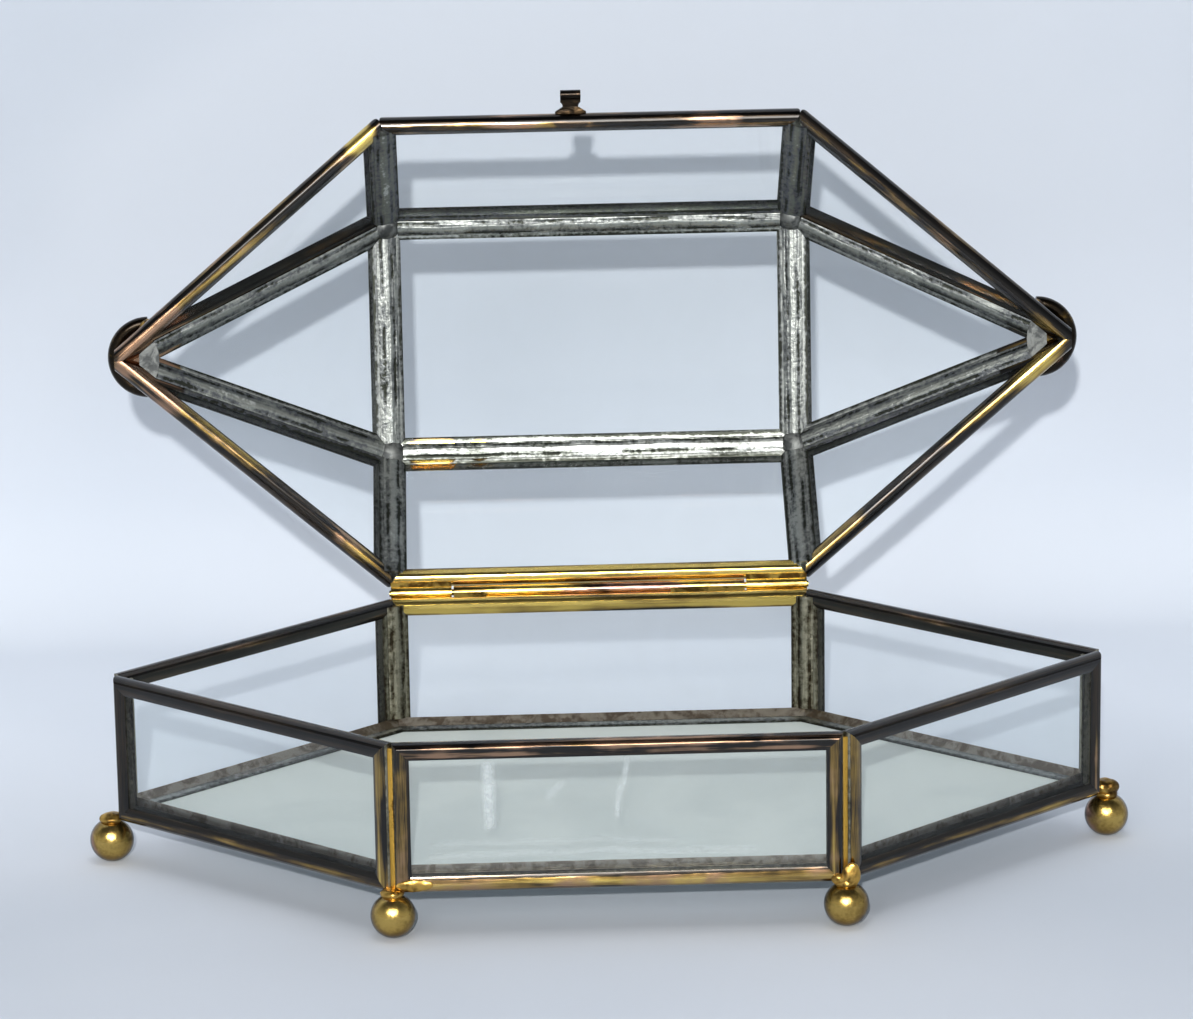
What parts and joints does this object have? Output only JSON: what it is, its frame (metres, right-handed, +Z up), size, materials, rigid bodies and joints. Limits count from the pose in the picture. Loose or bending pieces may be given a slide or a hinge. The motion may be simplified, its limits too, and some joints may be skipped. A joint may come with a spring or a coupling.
{
  "type": "glass casket box",
  "caption": "Elongated hexagonal glass box with brass-edged panes, ball feet, a faceted hinged lid, a thumb tab and a rod loop over each tip.",
  "frame": {"origin": "on the table, under the middle of the base's six-sided plan", "axes": "+X along the box to its right tip, +Y from the front to the hinge, +Z up; the lid stands open"},
  "size_m": [0.1904, 0.1246, 0.1297],
  "materials": {
    "brass": "antique, satin",
    "dark_brass": "dark patina, satin",
    "solder": "tin solder, dull with bright crests",
    "clear_glass": "clear",
    "frosted_glass": "polished above, frosted below"
  },
  "bodies": {
    "base": {"floor_frame": "brass", "floor_pane": "frosted_glass", "front_frame": "brass", "front_right_frame": "dark_brass", "back_right_frame": "dark_brass", "back_frame": "brass", "back_left_frame": "dark_brass", "front_left_frame": "dark_brass", "front_pane": "clear_glass", "front_right_pane": "clear_glass", "back_right_pane": "clear_glass", "back_pane": "clear_glass", "back_left_pane": "clear_glass", "front_left_pane": "clear_glass", "base_corner_solder": "solder", "floor_solder": "solder", "foot_front_left": "brass", "foot_front_right": "brass", "foot_right_tip": "brass", "foot_back_right": "brass", "foot_back_left": "brass", "foot_left_tip": "brass", "foot_solder": "solder", "hinge_tube": "brass", "hinge_tube_solder": "solder"},
    "lid": {"lid_top_frame": "dark_brass", "lid_front_frame": "dark_brass", "lid_back_frame": "dark_brass", "lid_left_end_frame": "dark_brass", "lid_right_end_frame": "dark_brass", "lid_front_left_frame": "dark_brass", "lid_front_right_frame": "dark_brass", "lid_back_right_frame": "dark_brass", "lid_back_left_frame": "dark_brass", "lid_top_pane": "clear_glass", "lid_front_pane": "clear_glass", "lid_back_pane": "clear_glass", "lid_left_end_pane": "clear_glass", "lid_right_end_pane": "clear_glass", "lid_front_left_pane": "clear_glass", "lid_front_right_pane": "clear_glass", "lid_back_right_pane": "clear_glass", "lid_back_left_pane": "clear_glass", "lid_seam_solder": "solder", "lid_corner_solder": "solder", "hinge_knuckle_left": "brass", "hinge_knuckle_right": "brass", "hinge_knuckle_solder": "solder", "hinge_pin": "brass", "lid_tab": "brass", "lid_tab_solder": "solder", "end_loop_left": "dark_brass", "end_loop_right": "dark_brass", "end_loop_solder": "solder"}
  },
  "joints": [
    {"name": "lid_hinge", "type": "hinge", "parent": "base", "child": "lid", "pos_m": [0, 0.04562, 0.03565], "axis": [-1, 0, 0], "range_deg": [-96.4, 83.6]}
  ]
}
